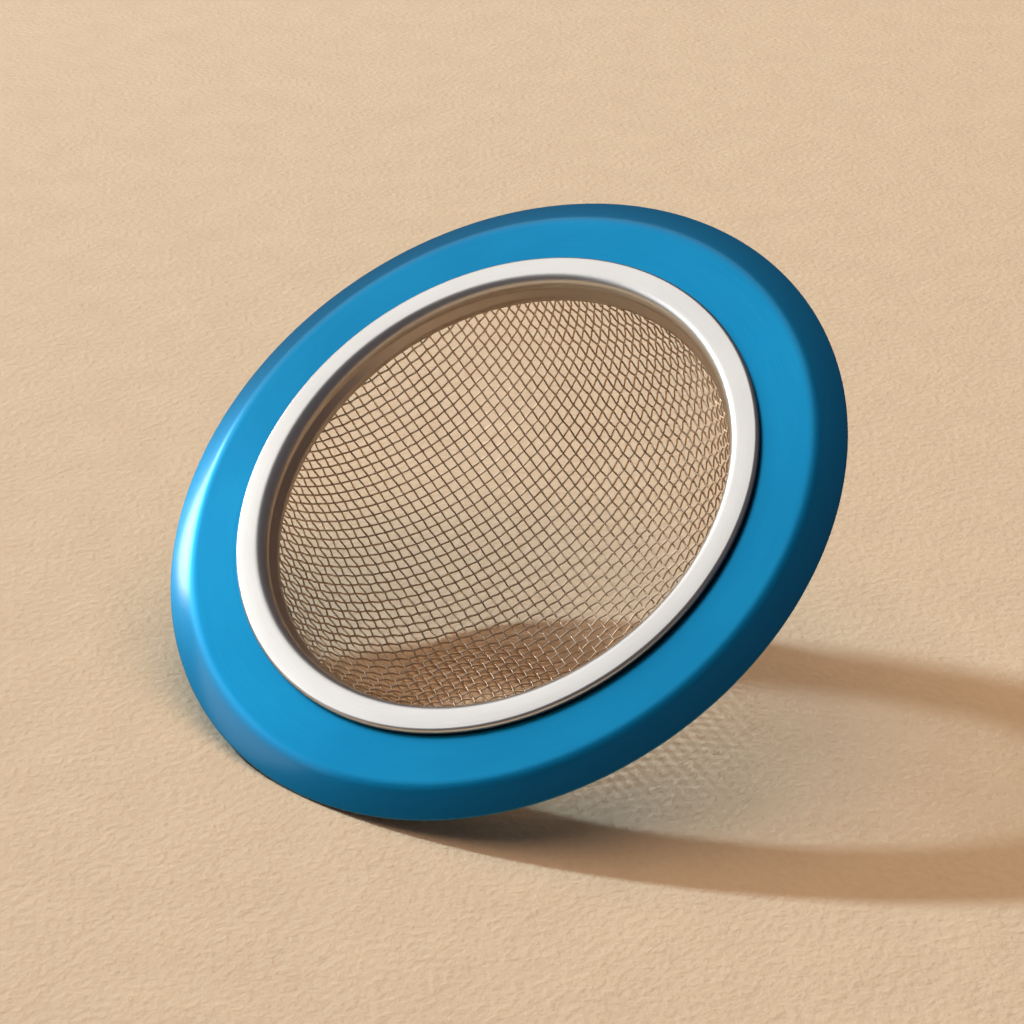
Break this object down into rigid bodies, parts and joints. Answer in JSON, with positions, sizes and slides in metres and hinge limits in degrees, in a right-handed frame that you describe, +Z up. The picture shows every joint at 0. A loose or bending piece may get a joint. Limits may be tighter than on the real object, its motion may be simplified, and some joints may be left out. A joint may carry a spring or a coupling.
{
  "type": "sink strainer",
  "caption": "Round strainer for a kitchen sink drain: a woven wire bowl clamped by a rolled ring into a wide blue flange that sits over the drain.",
  "frame": {"origin": "on the floor, below the middle of the box around the strainer as it leans on a table", "axes": "+Z up; +X along the level diameter of the flange, its longest extent; the bowl opens upwards and towards -Y, so the flange's low edge is at -Y and its high edge at +Y"},
  "size_m": [0.1138, 0.0934, 0.0657],
  "materials": {
    "blue_metal": "satin metallic blue coat over sheet steel, with fine circular brushing",
    "satin_steel": "satin stainless steel, spun, bright on top and darker down the collar",
    "steel_wire": "plain drawn stainless steel wire, woven"
  },
  "bodies": {
    "root": {"flange": "blue_metal", "clamp_ring": "satin_steel", "mesh_basket": "steel_wire"}
  },
  "joints": []
}
